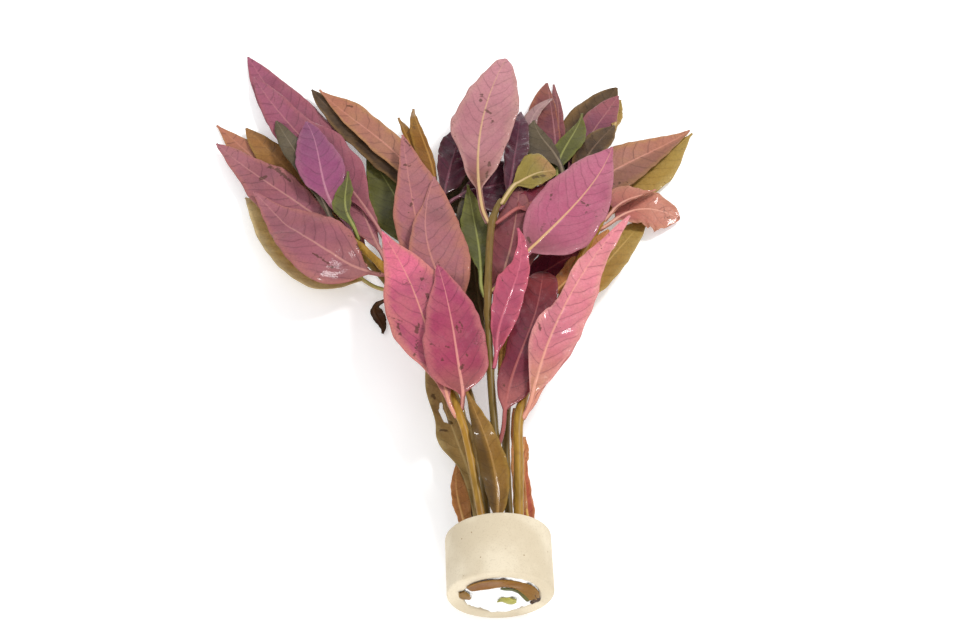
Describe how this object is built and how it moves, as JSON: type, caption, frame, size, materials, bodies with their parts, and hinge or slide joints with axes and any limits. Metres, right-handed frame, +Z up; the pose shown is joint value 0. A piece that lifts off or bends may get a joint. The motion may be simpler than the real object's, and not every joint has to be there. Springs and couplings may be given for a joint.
{
  "type": "alternanthera bunch with ceramic ring weight",
  "caption": "Lying bunch of pink and bronze leafy aquarium stems, their cut ends packed with wool in a short ceramic ring weight.",
  "frame": {"origin": "on the surface the bunch lies on, under the middle of its bounding box", "axes": "+Y from the ring weight to the leaf tips, +Z up, +X to the right when seen from above with the leaf tips away"},
  "size_m": [0.1752, 0.2352, 0.033],
  "materials": {
    "ceramic": "matte, fine grained, unglazed",
    "wool": "loose white fibre",
    "stem": "smooth, wet",
    "leaf_mauve": "thin, wet, veined",
    "leaf_pink": "thin, wet, veined",
    "leaf_salmon": "thin, wet, veined",
    "leaf_olive": "thin, wet, veined",
    "leaf_dark": "thin, glossy, dark purple",
    "leaf_brown": "thin, withered"
  },
  "bodies": {
    "root": {"ceramic_ring": "ceramic", "leaf_back_dark": "leaf_dark", "leaf_back_dark_long": "leaf_dark", "leaf_back_grey": "leaf_olive", "leaf_back_long": "leaf_mauve", "leaf_back_narrow": "leaf_mauve", "leaf_back_purple": "leaf_dark", "leaf_back_purple_under": "leaf_mauve", "leaf_back_rust": "leaf_mauve", "leaf_brown_at_stems": "leaf_brown", "leaf_centre_left_back": "leaf_mauve", "leaf_centre_left_front": "leaf_mauve", "leaf_centre_left_green": "leaf_olive", "leaf_dark_left": "leaf_dark", "leaf_dark_middle": "leaf_dark", "leaf_dark_right": "leaf_dark", "leaf_dead_left": "leaf_brown", "leaf_front_left": "leaf_pink", "leaf_front_mauve": "leaf_mauve", "leaf_front_middle": "leaf_pink", "leaf_front_pink": "leaf_pink", "leaf_front_right": "leaf_pink", "leaf_front_right_under": "leaf_mauve", "leaf_green_centre": "leaf_olive", "leaf_left_behind_stalk": "leaf_mauve", "leaf_left_broad": "leaf_mauve", "leaf_left_bruised": "leaf_mauve", "leaf_left_grey": "leaf_olive", "leaf_left_inner": "leaf_mauve", "leaf_left_long_over": "leaf_mauve", "leaf_left_long_under": "leaf_mauve", "leaf_left_olive": "leaf_olive", "leaf_left_olive_under": "leaf_olive", "leaf_left_peach": "leaf_salmon", "leaf_left_salmon_tip": "leaf_salmon", "leaf_left_small_green": "leaf_olive", "leaf_left_yellow": "leaf_olive", "leaf_olive_top": "leaf_olive", "leaf_orange_at_ring": "leaf_brown", "leaf_orange_high": "leaf_brown", "leaf_orange_low": "leaf_salmon", "leaf_red_at_ring": "leaf_pink", "leaf_right_curled": "leaf_salmon", "leaf_right_folded": "leaf_mauve", "leaf_right_large": "leaf_pink", "leaf_right_ochre": "leaf_olive", "leaf_right_olive": "leaf_olive", "leaf_right_salmon": "leaf_salmon", "leaf_right_small_back": "leaf_mauve", "leaf_right_under_large": "leaf_mauve", "leaf_top_large": "leaf_mauve", "leaf_torn_lower_left": "leaf_brown", "stem_left": "stem", "stem_left_under": "stem", "stem_lowest": "stem", "stem_middle": "stem", "stem_right": "stem", "stem_right_under": "stem", "wool_plug": "wool"}
  },
  "joints": []
}
